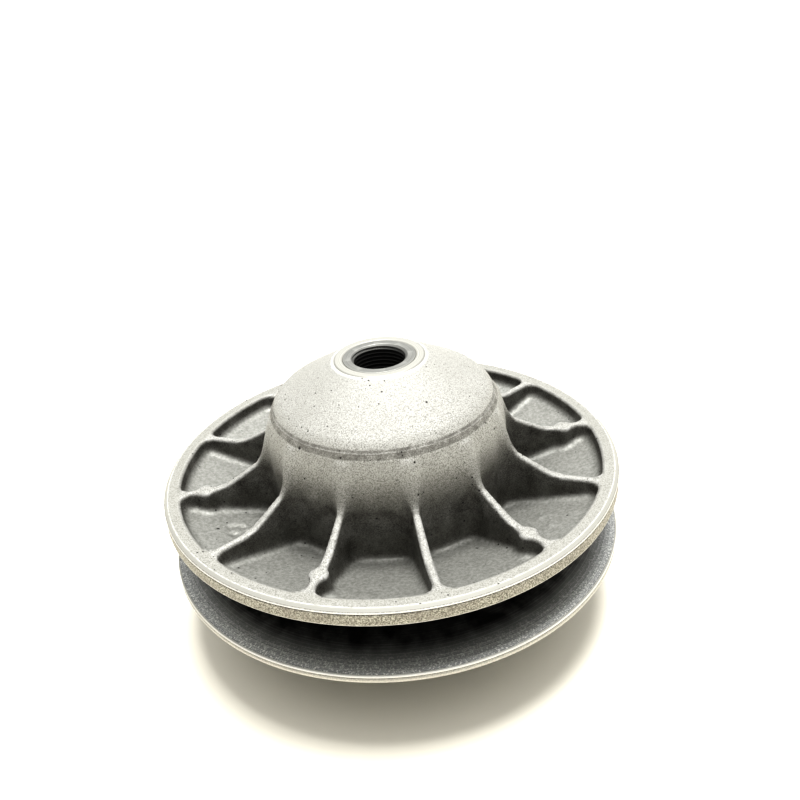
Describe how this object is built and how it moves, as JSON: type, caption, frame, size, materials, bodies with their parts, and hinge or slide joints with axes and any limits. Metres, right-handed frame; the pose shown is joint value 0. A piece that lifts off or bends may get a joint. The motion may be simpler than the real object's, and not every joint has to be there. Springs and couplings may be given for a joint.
{
  "type": "driven pulley",
  "caption": "Driven variable-speed belt pulley: ribbed domed fixed sheave, spring-loaded sliding sheave, torque cam with rollers, and a bored post.",
  "frame": {"origin": "centre of the foot's bottom face, on the shaft axis", "axes": "+Z along the shaft axis, from the torque cam's foot to the domed hub; +X through a bossed rib"},
  "size_m": [0.23, 0.23, 0.1377],
  "materials": {
    "cast_aluminium": "as-cast, satin, weathered",
    "turned_aluminium": "turned",
    "cam_aluminium": "hard-anodised, worn",
    "post_steel": "ground and oiled",
    "bright_steel": "ground",
    "black_steel": "black oxide",
    "spring_steel": "black coated",
    "bronze": "sintered, oiled",
    "white_nylon": "moulded",
    "black_nylon": "moulded",
    "roller_nylon": "moulded, fibre-filled",
    "felt": "oiled felt"
  },
  "bodies": {
    "fixed_half": {"fixed_sheave": "cast_aluminium", "post": "post_steel", "closing_bumper": "black_nylon", "torque_cam": "cam_aluminium", "cam_key": "bright_steel", "cam_washer": "bright_steel", "retaining_ring": "spring_steel", "stop_sleeve": "bright_steel", "lower_spring_seat": "white_nylon", "spring": "spring_steel"},
    "spring_seat": {"upper_spring_seat": "white_nylon"},
    "moving_half": {"moving_sheave": "cast_aluminium", "spring_cup": "turned_aluminium", "upper_bushing": "bronze", "lower_bushing": "bronze", "wiper_ring": "felt", "pin_lock_screws": "black_steel", "roller_pin_1": "bright_steel", "roller_pin_2": "bright_steel", "roller_pin_3": "bright_steel", "roller_clip_1": "spring_steel", "roller_clip_2": "spring_steel", "roller_clip_3": "spring_steel"},
    "roller_1": {"roller_1": "roller_nylon", "roller_bush_1": "bronze"},
    "roller_2": {"roller_2": "roller_nylon", "roller_bush_2": "bronze"},
    "roller_3": {"roller_3": "roller_nylon", "roller_bush_3": "bronze"}
  },
  "joints": [
    {"name": "sheave_slide", "type": "slide", "parent": "fixed_half", "child": "spring_seat", "axis": [0, 0, -1], "range_m": [0, 0.022], "stiffness_N_per_m": 9000, "springref_m": -0.002, "deforming": ["spring"]},
    {"name": "sheave_twist", "type": "hinge", "parent": "spring_seat", "child": "moving_half", "pos_m": [0, 0, 0.055], "axis": [0, 0, 1], "range_deg": [0, 29.5]},
    {"name": "roller_spin_1", "type": "hinge", "parent": "moving_half", "child": "roller_1", "pos_m": [0.04153, 0.01113, 0.044], "axis": [0.9659, 0.2588, 0], "range_deg": [-256, 0]},
    {"name": "roller_spin_2", "type": "hinge", "parent": "moving_half", "child": "roller_2", "pos_m": [-0.03041, 0.03041, 0.044], "axis": [-0.7071, 0.7071, 0], "range_deg": [-256, 0]},
    {"name": "roller_spin_3", "type": "hinge", "parent": "moving_half", "child": "roller_3", "pos_m": [-0.01113, -0.04153, 0.044], "axis": [-0.2588, -0.9659, 0], "range_deg": [-256, 0]}
  ],
  "couplings": [
    {"joint": "sheave_twist", "follows": "sheave_slide", "rad_per_m": 23.256},
    {"joint": "roller_spin_1", "follows": "sheave_slide", "rad_per_m": -202.03},
    {"joint": "roller_spin_2", "follows": "sheave_slide", "rad_per_m": -202.03},
    {"joint": "roller_spin_3", "follows": "sheave_slide", "rad_per_m": -202.03}
  ]
}
